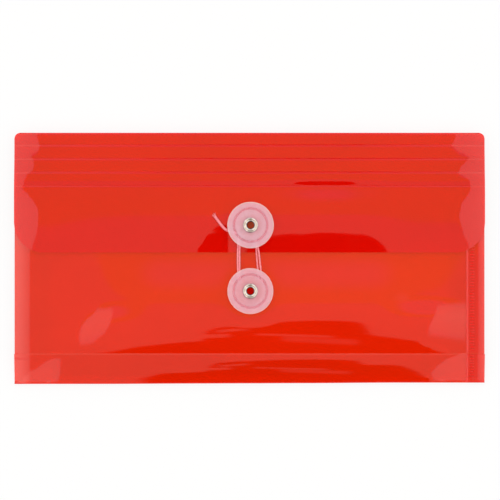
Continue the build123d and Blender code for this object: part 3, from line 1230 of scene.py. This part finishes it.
@dataclass
class Fastener:
    """A frosted disc on its hub, riveted by a rolled eyelet that is clinched on a washer."""

    name: str
    body: Body
    disc_finish: Material
    metal_finish: Material
    nudge: Pair = (0.0, 0.0)
    rim: float = 12.5 * MM
    rim_edge: float = 0.3 * MM
    thickness: float = 0.9 * MM
    hub: float = 2.6 * MM
    hub_fillet: float = 0.5 * MM
    hole_radius: float = 2.05 * MM
    ring: float = 8.95 * MM
    ring_half: float = 0.6 * MM
    ring_depth: float = 0.10 * MM
    dish: float = 0.10 * MM
    bore: float = 1.75 * MM
    tube: float = 2.0 * MM
    crest: float = 3.15 * MM
    throat: float = 2.08 * MM
    throat_rise: float = 0.12 * MM
    throat_turn: Knots = in_mm((1.96, -0.02), (1.83, -0.2))
    bore_start: float = 0.45 * MM
    flange: float = 4.1 * MM
    flange_rise: float = 0.55 * MM
    clinch: float = 3.1 * MM
    clinch_seat: float = -0.6 * MM
    clinch_drop: float = 0.45 * MM
    sharp_angle: float = 0.75

    def __post_init__(self) -> None:
        """Reads the disc's place from the frame and sets it a little aside, as it was riveted by hand."""
        low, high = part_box(f"{self.name}_button")
        middle = Vector(((low[0] + high[0]) / 2, (low[1] + high[1]) / 2, low[2]))
        self.seat = middle + Vector((*self.nudge, 0.0))
        self.face = high[2] - low[2]

    def hole(self) -> Hole:
        """Centre and radius of the hole in the film under the hub."""
        return self.seat, self.hole_radius

    def disc_profile(self) -> list[Pair]:
        """Section of the disc: hub, rounded rim, ring groove and dished middle.

        Returns:
            Points of radius and height over the seat.
        """
        under = self.face - self.thickness
        edge, fillet = self.rim_edge, self.hub_fillet
        points = [(self.hole_radius, 0.0), (self.hub, 0.0)]
        points += arc((self.hub + fillet, under - fillet), (fillet, fillet), 180, 90, 5)
        points += arc((self.rim - edge, under + edge), (edge, edge), -90, 0, 6)
        points += arc((self.rim - edge, self.face - edge), (edge, edge), 0, 90, 8)
        for share in span(-1.0, 1.0, 0.25):
            floor = self.face - self.dish * (share + 1) / 2
            points.append((self.ring - self.ring_half * share, floor - self.ring_depth * (1 - share * share)))
        return [*points, (self.hole_radius, self.face - self.dish)]

    def eyelet_profile(self) -> list[Pair]:
        """Section of the eyelet: tube, rolled flange with a round crest, throat, bore and clinched foot.

        Returns:
            Points of radius and height over the seat.
        """
        foot = self.face - self.dish
        outside = (self.flange - self.crest, self.flange_rise)
        inside = (self.crest - self.throat, self.flange_rise - self.throat_rise)
        clinch = ((self.clinch - self.bore) / 2, self.clinch_drop)
        points = [(self.tube, self.clinch_seat), (self.tube, foot)]
        points += arc((self.crest, foot), outside, 0, 90, 16)
        points += arc((self.crest, foot + self.throat_rise), inside, 90, 180, 10)[1:]
        points += [(radius, foot + rise) for radius, rise in self.throat_turn]
        points.append((self.bore, foot - self.bore_start))
        return points + arc(((self.bore + self.clinch) / 2, self.clinch_seat), clinch, 180, 360, 8)

    def washer_profile(self, radius: float, thickness: float) -> list[Pair]:
        """Section of the backing washer, with a round rim.

        Args:
            radius: Its outer radius.
            thickness: Its thickness.

        Returns:
            Points of radius and height over its underside.
        """
        edge = thickness / 2
        rim = arc((radius - edge, edge), (edge, edge), -90, 90, 6)
        return [(self.hole_radius, 0.0), *rim, (self.hole_radius, thickness)]

    def build(self) -> None:
        """Makes the disc, the eyelet and its washer."""
        low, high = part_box(f"{self.name}_eyelet_washer")
        under = Vector((self.seat.x, self.seat.y, low[2]))
        washer = self.washer_profile((high[0] - low[0]) / 2, high[2] - low[2])
        for piece, profile, place, finish, slot, node in (
            ("disc", self.disc_profile(), self.seat, self.disc_finish, Slot.BUTTON, "button"),
            ("rolled_eyelet", self.eyelet_profile(), self.seat, self.metal_finish, Slot.EYELET, "eyelet"),
            ("washer", washer, under, self.metal_finish, Slot.EYELET, "eyelet_washer"),
        ):
            mesh = turned(profile)
            mesh.materials.append(finish)
            smoothed(mesh, self.sharp_angle)
            obj = placed(f"{self.name}_{piece}", mesh)
            obj.location = place
            settle(obj, self.body, f"{self.name}_{node}")


@dataclass
class TieString:
    """The string: three twisted plies along its route, fuller towards the tail, with a frayed end.

    Fields that end in share are shares of the diameter. The pairs that start with fibre are ranges of chance.
    """

    finish: Material
    diameter: float = 1.0 * MM
    length: float = 217.9 * MM
    low_level: float = 7.85 * MM
    high_level: float = 8.75 * MM
    spread: float = 35.8 * MM
    over: float = 10.2 * MM
    tail: float = 8.2 * MM
    aside: float = 0.22 * MM
    route_steps: int = 40
    route_order: int = 3
    plies: int = 3
    lay: float = 3.2 * MM
    sides: int = 8
    step: float = 0.3 * MM
    ply_share: float = 0.33
    offset_share: float = 0.17
    fullness: float = 0.96
    tail_fullness: float = 1.5
    tail_run: Pair = (24 * MM, 15 * MM)
    splay_run: float = 2.2 * MM
    splay: float = 2.0
    thinning: float = 0.35
    fibres: int = 30
    fibre_radius: float = 0.09 * MM
    fibre_thinning: float = 0.6
    fibre_reach: Pair = (1.9 * 0.6 * MM, 1.9 * 1.15 * MM)
    fibre_start: Pair = (0.3 * MM, 1.2 * MM)
    fibre_aside: Pair = (0.1, 0.55)
    fibre_lean: Pair = (0.15, 0.5)
    fibre_sag: float = 0.1
    flatness: float = 0.6
    seed: int = 7
    sharp_angle: float = 1.2

    def route(self) -> list[Vector]:
        """Points of the route: two turns round both hubs, then the tail.

        Returns:
            The points, in metres.
        """
        winding = (
            (-1.74, 15.83), (-5.50, 11.60), (-5.55, 5.80), (-5.50, -23.30), (5.90, -23.30), (3.00, 7.50),
            (3.30, 23.10), (-6.60, 23.10), (-6.62, -24.90), (8.00, -24.90), (5.60, -4.00),
        )
        last = (
            (4.40, 7.20, self.over - 0.1 * MM), (0.60, 12.40, self.over), (-8.10, 13.60, self.over),
            (-12.00, 14.90, self.over - 0.9 * MM), (-14.70, 16.70, self.tail), (-19.10, 22.95, self.tail),
        )
        points = [(x, y, self.level(y * MM)) for x, y in winding]
        return [Vector((x * MM + self.aside, y * MM, z)) for x, y, z in (*points, *last)]

    def level(self, y: float) -> float:
        """Height of the winding, which tilts from the front's hub up to the flap's."""
        share = (y + self.spread / 2) / self.spread
        return self.low_level + (self.high_level - self.low_level) * share

    def line(self) -> list[Vector]:
        """Reads evenly spaced points from the route's spline.

        Returns:
            Points along the smooth route.
        """
        curve = bpy.data.curves.new("string_route", "CURVE")
        curve.dimensions = "3D"
        curve.resolution_u = self.route_steps
        spline = curve.splines.new("NURBS")
        points = self.route()
        spline.points.add(len(points) - 1)
        for knot, point in zip(spline.points, points):
            knot.co = (*point, 1.0)
        spline.order_u = self.route_order
        spline.use_endpoint_u = True
        carrier = placed("string_route", curve)
        dense = [vertex.co.copy() for vertex in shown(carrier).vertices]
        bpy.data.objects.remove(carrier)
        kept = [dense[0]]
        for point in dense[1:]:
            if (point - kept[-1]).length >= self.step:
                kept.append(point)
        return kept

    def frames(self, line: Line) -> list[Axes]:
        """Steady cross directions along the line.

        Args:
            line: Points along the route.

        Returns:
            The tangent and two directions across it, at each point.
        """
        found = []
        across = None
        for before, after in zip([line[0], *line[:-1]], [*line[1:], line[-1]]):
            tangent = (after - before).normalized()
            across = tangent.cross(UP) if across is None else across
            across = (across - tangent * across.dot(tangent)).normalized()
            found.append((tangent, across, tangent.cross(across)))
        return found

    def add_strand(self, build: BMesh, centres: Line, radii: Sequence[float], frames: Sequence[Axes]) -> None:
        """Adds one closed strand.

        Args:
            build: Mesh that gets the strand.
            centres: Its middle line.
            radii: Its radius at each point.
            frames: The directions along and across it at each point.
        """
        turns = [2 * math.pi * corner / self.sides for corner in range(self.sides)]
        skin(build, [
            [centre + (across * math.cos(turn) + other * math.sin(turn)) * radius for turn in turns]
            for centre, radius, (_, across, other) in zip(centres, radii, frames)])

    def add_ply(self, build: BMesh, line: Line, ply: int) -> None:
        """Adds one ply of the twist.

        Args:
            build: Mesh that gets the ply.
            line: Points along the route.
            ply: Which of the plies.
        """
        frames = self.frames(line)
        centres, radii = [], []
        for index, (point, (_, across, other)) in enumerate(zip(line, frames)):
            along = index * self.length / (len(line) - 1)
            loose = ease(self.length - along, self.splay_run, 0.0)
            full = ease(self.length - along, *self.tail_run)
            girth = self.diameter * (self.fullness + (self.tail_fullness - self.fullness) * full)
            offset = girth * self.offset_share * (1 + (self.splay - 1) * loose)
            angle = 2 * math.pi * (along / self.lay + ply / self.plies)
            centres.append(point + (across * math.cos(angle) + other * math.sin(angle)) * offset)
            radii.append(girth * self.ply_share * (1 - self.thinning * loose))
        self.add_strand(build, centres, radii, frames)

    def add_fray(self, build: BMesh, line: Line) -> None:
        """Adds the loose fibres at the tail's end.

        Args:
            build: Mesh that gets the fibres.
            line: Points along the route.
        """
        chance = random.Random(self.seed)
        tangent, across, other = self.frames(line)[-1]
        shares = span(0.0, 1.0, 0.25)
        for _ in range(self.fibres):
            turn = chance.uniform(0, 2 * math.pi)
            aside = across * math.cos(turn) + other * self.flatness * math.sin(turn)
            aside *= chance.uniform(*self.fibre_aside) * self.diameter
            start = line[-1] - tangent * chance.uniform(*self.fibre_start) + aside
            reach = chance.uniform(*self.fibre_reach)
            lean = aside.normalized() * chance.uniform(*self.fibre_lean) - UP * self.fibre_sag
            centres = [start + (tangent * share + lean * share * share) * reach for share in shares]
            radii = [self.fibre_radius * (1 - self.fibre_thinning * share) for share in shares]
            self.add_strand(build, centres, radii, [(tangent, across, other)] * len(centres))

    def build(self) -> None:
        """Makes the string."""
        line = self.line()
        build = bmesh.new()
        for ply in range(self.plies):
            self.add_ply(build, line, ply)
        self.add_fray(build, line)
        mesh = finished(build, "tie_thread")
        mesh.materials.append(self.finish)
        smoothed(mesh, self.sharp_angle)
        obj = placed("tie_thread", mesh)
        settle(obj, Body.FLAP, "tie_string")
        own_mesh(obj)


class Sky(NodeBoard):
    """Board of the world, with how far a direction leans along X, along Y and aside for each unit of rise."""

    def __init__(self, tree: NodeTree, least_rise: float) -> None:
        """Reads the direction.

        Args:
            tree: The world's node tree.
            least_rise: Rise that lower directions count as.
        """
        super().__init__(tree)
        axes = self.add("SeparateXYZ", self.add("TexCoord").outputs["Generated"]).outputs
        rise = self.math("MAXIMUM", axes["Z"], least_rise)
        self.across = self.math("DIVIDE", axes["X"], rise)
        self.along = self.math("DIVIDE", axes["Y"], rise)
        self.aside = self.math("ABSOLUTE", self.across)

    def patch(self, along: Band, lean: NodeSocket, band: Band) -> NodeSocket:
        """A mask that is 1 inside a band along Y and a band of another lean."""
        return self.product(self.window(self.along, along), self.window(lean, band))


@dataclass(frozen=True)
class Gap:
    """A slit in the dark card that lets some light by.

    Attributes:
        start: Lean along X and depth on the card where the slit starts.
        end: The same where it ends.
        half: Half its height, in depth on the card.
        light: Share of the light that it lets by.
        soft: Half width of its soft edges, in depth on the card.
        end_soft: Half width of its soft ends, in lean along X.
    """

    start: Pair
    end: Pair
    half: float
    light: float
    soft: float = 0.012
    end_soft: float = 0.001

    def mask(self, sky: Sky, down: NodeSocket) -> NodeSocket:
        """Light that the slit lets by.

        Args:
            sky: Board of the world.
            down: Depth on the card.

        Returns:
            The share of light.
        """
        slope = (self.end[1] - self.start[1]) / (self.end[0] - self.start[0])
        middle = sky.math("MULTIPLY_ADD", sky.across, slope, self.start[1] - slope * self.start[0])
        high = sky.window(sky.math("SUBTRACT", down, middle), (-self.half, self.half, self.soft))
        wide = sky.window(sky.across, (self.start[0], self.end[0], self.end_soft))
        return sky.product(high, wide, self.light)


@dataclass(frozen=True)
class CardImage:
    """Where the film mirrors the dark card.

    Attributes:
        outline: Depth of the card's upper outline, 0 at its top to 1 at its foot, at leans along X.
        top: Lean along Y of its top.
        foot: Lean along Y of its foot.
        end: Lean along Y where it ends.
        sides: Leans along X of its sides, and their softness.
        reach: Leans along X between which the outline is drawn.
        edge: Softness of the outline, in depth before and behind it.
        end_soft: Half width of its soft end.
    """

    outline: Knots
    top: float
    foot: float
    end: float
    sides: Band
    reach: Pair = (-0.10, 0.12)
    edge: Pair = (-0.01, 0.015)
    end_soft: float = 0.006

    def depth(self, sky: Sky) -> NodeSocket:
        """Draws the outline.

        Args:
            sky: Board of the world.

        Returns:
            The outline's depth on the card.
        """
        low, high = self.reach
        share = sky.add("MapRange", Value=sky.across, From_Min=low, From_Max=high)
        curve = sky.add("FloatCurve", Value=share.outputs["Result"])
        points = curve.mapping.curves[0].points
        points[0].location = (0.0, 1.0)
        points[1].location = (1.0, 1.0)
        for lean, depth in self.outline:
            points.new((lean - low) / (high - low), depth)
        curve.mapping.update()
        return curve.outputs["Value"]

    def mask(self, sky: Sky, gaps: Sequence[Gap]) -> NodeSocket:
        """Where the card is.

        Args:
            sky: Board of the world.
            gaps: Slits in the card.

        Returns:
            1 on the card, less in its slits.
        """
        down = sky.math("DIVIDE", sky.math("SUBTRACT", sky.along, self.top), self.foot - self.top)
        inside = sky.ramp(sky.math("SUBTRACT", down, self.depth(sky)), self.edge)
        before_end = sky.ramp(sky.along, (self.end - self.end_soft, self.end + self.end_soft))
        slits = [sky.math("SUBTRACT", 1.0, gap.mask(sky, down)) for gap in gaps]
        return sky.product(inside, before_end, sky.window(sky.across, self.sides), *slits)


@dataclass
class Room:
    """The white room that lights the envelope: bright panels at both sides and a dark card behind the camera.

    The fields that end in across, along or aside are bands or ends of a direction's leans.
    """

    level: float = 1.045
    least_rise: float = 0.05
    front_tone: Colour = (0.66, 0.575, 0.44)
    flap_tone: Colour = (0.66, 0.65, 0.28)
    flap_along: Pair = (-0.003, 0.001)
    far_tone: Colour = (0.60, 0.60, 0.60)
    far_along: Pair = (0.03, 0.07)
    tone_aside: Band = (-1.0, 0.11, 0.01)
    tone_along: Band = (-0.65, 0.65, 0.03)
    panel_tone: Colour = (1.0, 0.95, 0.86)
    panel_aside: Band = (0.12, 0.42, 0.004)
    panel_along: Band = (-0.6, 0.6, 0.05)
    panel_rise: Pair = (0.12, 0.27)
    panel_light: Pair = (0.14, 1.20)
    strip_light: float = 0.7
    strip_along: Band = (-0.32, -0.23, 0.02)
    strip_across: Band = (-0.15, 0.15, 0.03)
    flank_light: float = 0.5
    flank_along: Band = (0.2, 0.6, 0.05)
    flank_aside: Band = (0.055, 0.3, 0.02)
    wall_along: Pair = (-2.4, -1.1)
    wall_light: Pair = (0.35, 1.0)
    front_bearing: Band = (-0.5, 0.5, 0.15)
    front_along: Pair = (-1.6, -0.9)
    front_shade: Pair = (0.85, 0.0)
    near_card: CardImage = CardImage(
        outline=(
            (-0.058, 1.0), (-0.040, 0.81), (-0.0255, 0.68), (-0.0175, 0.63), (-0.0158, 0.36), (-0.006, 0.17),
            (0.002, 0.16), (0.012, 0.03), (0.030, 0.0), (0.0395, 0.06), (0.0440, 0.44), (0.0540, 0.56),
            (0.0660, 0.72), (0.0800, 1.0),
        ),
        top=-0.06, foot=-0.16, end=-0.21, sides=(-0.075, 0.095, 0.02))
    far_card: CardImage = CardImage(
        outline=(
            (-0.0480, 1.0), (-0.0394, 0.88), (-0.0339, 0.72), (-0.0209, 0.65), (-0.0170, 0.60),
            (-0.0155, 0.33), (-0.0093, 0.14), (0.0044, 0.05), (0.0146, 0.01), (0.0312, 0.0), (0.0415, 0.08),
            (0.0445, 0.26), (0.0558, 0.28), (0.0609, 0.41), (0.0655, 0.65), (0.0760, 1.0),
        ),
        top=-0.366, foot=-0.464, end=-0.60, sides=(-0.043, 0.079, 0.004))
    gaps: tuple[Gap, ...] = (
        Gap((-0.0120, 0.345), (-0.0010, 0.235), 0.040, 0.95),
        Gap((-0.0180, 0.50), (-0.0075, 0.46), 0.055, 0.90),
        Gap((0.0020, 0.42), (0.0300, 0.50), 0.028, 0.85),
        Gap((0.0120, 0.56), (0.0390, 0.68), 0.080, 0.50, 0.05),
    )

    def open_share(self, sky: Sky) -> NodeSocket:
        """Light that the dark card, the front wall and the shade low in its middle leave.

        Args:
            sky: Board of the world.

        Returns:
            The share of light.
        """
        card = sky.math("MAXIMUM", self.near_card.mask(sky, self.gaps), self.far_card.mask(sky, self.gaps))
        ahead = sky.window(sky.math("DIVIDE", sky.across, sky.along), self.front_bearing)
        shade = sky.product(ahead, sky.ramp(sky.along, self.front_along, self.front_shade))
        left = [sky.math("SUBTRACT", 1.0, mask) for mask in (card, shade)]
        return sky.product(sky.ramp(sky.along, self.wall_along, self.wall_light), *left)

    def lamps(self, sky: Sky, panel: NodeSocket) -> NodeSocket:
        """Light of the room and of its lamps.

        Args:
            sky: Board of the world.
            panel: Mask of the side panels.

        Returns:
            The strength.
        """
        glow = sky.ramp(sky.aside, self.panel_rise, self.panel_light)
        strip = sky.patch(self.strip_along, sky.across, self.strip_across)
        flank = sky.patch(self.flank_along, sky.aside, self.flank_aside)
        light = self.level
        for mask, strength in ((panel, glow), (strip, self.strip_light), (flank, self.flank_light)):
            light = sky.math("MULTIPLY_ADD", mask, strength, light)
        return light

    def tone(self, sky: Sky, panel: NodeSocket) -> NodeSocket:
        """Colour of the light.

        Args:
            sky: Board of the world.
            panel: Mask of the side panels.

        Returns:
            The colour.
        """
        over = sky.patch(self.tone_along, sky.aside, self.tone_aside)
        tone = sky.blend(sky.ramp(sky.along, self.flap_along), self.front_tone, self.flap_tone)
        tone = sky.blend(sky.ramp(sky.along, self.far_along), tone, self.far_tone)
        return sky.blend(over, sky.blend(panel, WHITE, self.panel_tone), tone)

    def build(self) -> None:
        """Sets the world."""
        world = bpy.data.worlds.new("studio")
        bpy.context.scene.world = world
        world.use_nodes = True
        sky = Sky(world.node_tree, self.least_rise)
        panel = sky.patch(self.panel_along, sky.aside, self.panel_aside)
        light = sky.product(self.lamps(sky, panel), self.open_share(sky))
        room = sky.add("Background", self.tone(sky, panel), light)
        backdrop = sky.add("Background", WHITE, 1.0)
        rays = sky.add("LightPath").outputs
        seen = sky.math("MAXIMUM", rays["Is Camera Ray"], rays["Is Transmission Ray"])
        sky.add("OutputWorld", Surface=sky.mixed(seen, room, backdrop))
        LOG.info("room lit")


@dataclass
class Studio:
    """White floor and the camera above the envelope."""

    focal: float = 200.0
    sensor: float = 36.0
    frame_width: float = 269.55 * MM
    aim: Pair = (0.27 * MM, 4.50 * MM)
    aim_level: float = 7.5 * MM
    clip_end: float = 100.0
    floor_reach: float = 3.0
    floor_gap: float = 0.05 * MM
    floor_colour: Colour = (0.92, 0.92, 0.92)
    floor_white: float = 0.85

    def build_camera(self) -> None:
        """Makes the camera, straight above with +Y up in the picture."""
        data = bpy.data.cameras.new("above")
        data.sensor_width = self.sensor
        data.lens = self.focal
        data.clip_end = self.clip_end
        camera = placed("above", data)
        camera.location = (*self.aim, self.aim_level + self.frame_width * self.focal / self.sensor)
        bpy.context.scene.camera = camera
        LOG.info("camera set")

    def build_floor(self) -> None:
        """Makes the floor, which shows white and keeps a soft shadow."""
        build = bmesh.new()
        below = Matrix.Translation((0, 0, -self.floor_gap))
        bmesh.ops.create_grid(build, x_segments=1, y_segments=1, size=self.floor_reach, matrix=below)
        material, board = blank_material("white_floor")
        matt = board.add("BsdfDiffuse", self.floor_colour)
        glow = board.add("Emission", WHITE, 1.0)
        rays = board.add("LightPath").outputs
        seen = board.math("MAXIMUM", rays["Is Camera Ray"], rays["Is Glossy Ray"])
        seen = board.math("MAXIMUM", seen, rays["Is Transmission Ray"])
        board.add("OutputMaterial", Surface=board.mixed(board.product(seen, self.floor_white), matt, glow))
        mesh = finished(build, "floor")
        mesh.materials.append(material)
        placed("floor", mesh)
        LOG.info("floor laid")

    def build(self) -> None:
        """Sets up the studio."""
        self.build_camera()
        self.build_floor()


def main() -> None:
    """Builds the finishes, the studio, the room and every piece."""
    logging.basicConfig(level=logging.INFO, format="%(message)s")
    bpy.context.scene.view_settings.view_transform = "Standard"
    film = FilmFinish().build()
    flap_film = FilmFinish("red_flap_film", (0.96, 0.007, 0.0008), (0.93, 0.006, 0.0007)).build()
    inner_film = FilmFinish("red_inner_film", coat=0.05).build()
    weld = FilmFinish(
        "welded_film", (0.95, 0.010, 0.001), (0.90, 0.009, 0.001), opacity=0.7, coat=0.45).build()
    tab_film = FilmFinish(
        "red_tab_film", (1.0, 0.016, 0.001), (0.98, 0.014, 0.001), tint=(1.0, 0.030, 0.004)).build()
    frost = FrostFinish().build()
    lower_frost = FrostFinish(
        "frosted_lower_disc", (1.0, 0.78, 0.90), (1.0, 0.735, 0.86), core=(1.0, 0.60, 0.69),
        core_edge=(4.4 * MM, 10.5 * MM)).build()
    nickel = MetalFinish().build()
    thread = ThreadFinish().build()
    Studio().build()
    Room().build()
    TieString(thread).build()
    upper = Fastener("flap", Body.FLAP, frost, nickel, nudge=(0.59 * MM, 0.0))
    lower = Fastener("body", Body.FRONT, lower_frost, nickel, nudge=(0.46 * MM, 0.28 * MM), rim=12.37 * MM)
    upper.build()
    lower.build()
    Flap(flap_film).build(upper.hole())
    pocket = Pocket(film)
    pocket.build_front(lower.hole())
    pocket.build_bottom()
    Seam(pocket, tab_film, weld).build()
    dress("back_panel", film, lining=inner_film)
    for node in (
        "left_gusset_back_leaf", "left_gusset_front_leaf", "right_gusset_back_leaf",
        "right_gusset_front_leaf", "bottom_weld_tab", "flap_spine",
    ):
        dress(node, film)


if __name__ == "__main__":
    main()
